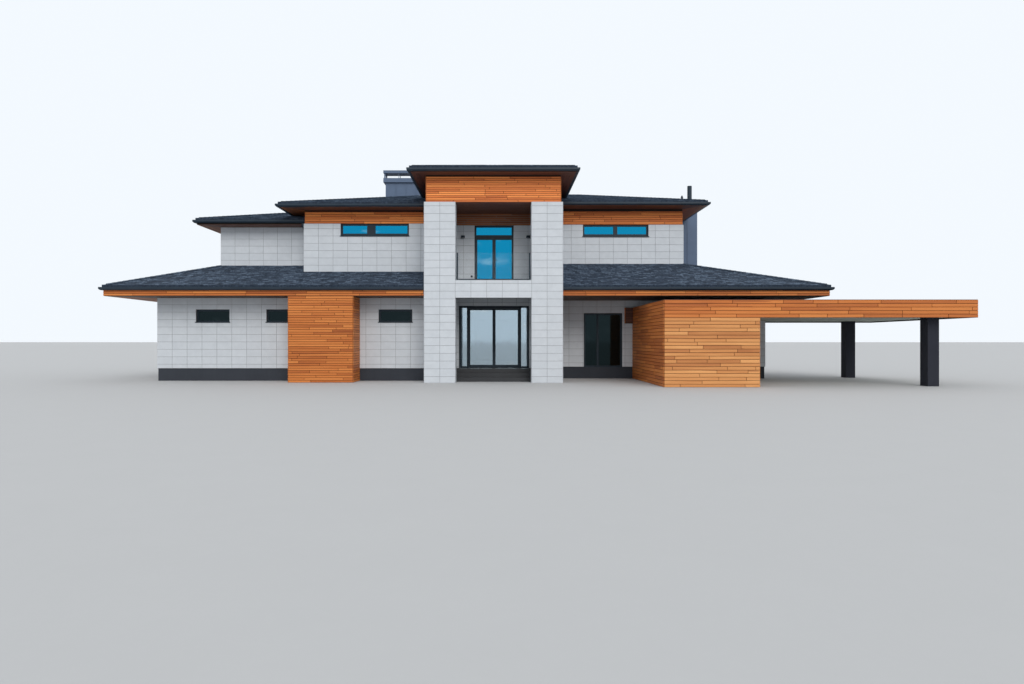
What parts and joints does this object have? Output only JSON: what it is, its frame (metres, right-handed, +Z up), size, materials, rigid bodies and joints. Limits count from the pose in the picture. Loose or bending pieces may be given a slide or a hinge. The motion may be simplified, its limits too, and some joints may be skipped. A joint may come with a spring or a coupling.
{
  "type": "detached house",
  "caption": "Two-storey detached house: tiled walls, wood bands, dark hip roofs, a balcony tower over a glazed porch, a wood-clad store and a flat carport.",
  "frame": {"origin": "on the ground, under the middle of the entrance steps", "axes": "+X to the right as seen from the street, +Y from the street to the rear, +Z up"},
  "size_m": [31.89, 17.76, 9.695],
  "materials": {
    "facade_tile": "matt tiles",
    "wood_boards": "oiled boards",
    "shingles": "mineral granules",
    "dark_metal": "satin",
    "window_glass": "clear",
    "dark_render": "matt render",
    "concrete": "plain concrete",
    "step_stone": "honed stone"
  },
  "bodies": {
    "house": {"plinth": "dark_render", "ground_floor": "concrete", "front_wall_left": "facade_tile", "front_wall_right": "facade_tile", "left_wall": "facade_tile", "right_wall": "facade_tile", "rear_wall": "facade_tile", "entrance_steps": "step_stone", "tower_pillars": "facade_tile", "tower_side_walls": "facade_tile", "entrance_walls": "facade_tile", "entrance_head": "facade_tile", "entrance_frame": "dark_metal", "entrance_side_lights": "window_glass", "upper_floor": "concrete", "balcony_floor": "facade_tile", "balustrade_glass": "window_glass", "balustrade_rail": "dark_metal", "balcony_wall": "facade_tile", "tower_frieze": "wood_boards", "upper_front_walls": "facade_tile", "upper_left_wall": "facade_tile", "upper_right_wall": "facade_tile", "upper_rear_wall": "facade_tile", "left_room_walls": "facade_tile", "upper_frieze": "wood_boards", "main_roof": "shingles", "tower_roof": "shingles", "left_room_roof": "shingles", "tower_eaves": "wood_boards", "main_eaves": "wood_boards", "left_room_eaves": "wood_boards", "lower_roof_front": "shingles", "lower_roof_left": "shingles", "lower_roof_right": "shingles", "lower_roof_rear": "shingles", "lower_eaves": "wood_boards", "gutters": "dark_metal", "bay_walls": "wood_boards", "store_walls": "wood_boards", "carport_roof": "concrete", "carport_fascia": "wood_boards", "carport_coping": "dark_metal", "carport_columns": "dark_render", "left_chimney": "dark_render", "right_chimney": "dark_render", "flues": "dark_metal", "downpipes": "dark_metal", "ground_window_frames": "dark_metal", "ground_window_glass": "window_glass", "upper_window_frames": "dark_metal", "upper_window_glass": "window_glass"},
    "entrance_leaf_left": {"entrance_door_left": "dark_metal", "entrance_glass_left": "window_glass"},
    "entrance_leaf_right": {"entrance_door_right": "dark_metal", "entrance_glass_right": "window_glass"}
  },
  "joints": [
    {"name": "entrance_leaf_left_swing", "type": "hinge", "parent": "house", "child": "entrance_leaf_left", "pos_m": [-1.062, 1.0203, 0.47], "axis": [0, 0, 1], "range_deg": [0, 95]},
    {"name": "entrance_leaf_right_swing", "type": "hinge", "parent": "house", "child": "entrance_leaf_right", "pos_m": [1.062, 1.0203, 0.47], "axis": [0, 0, -1], "range_deg": [0, 95]}
  ]
}
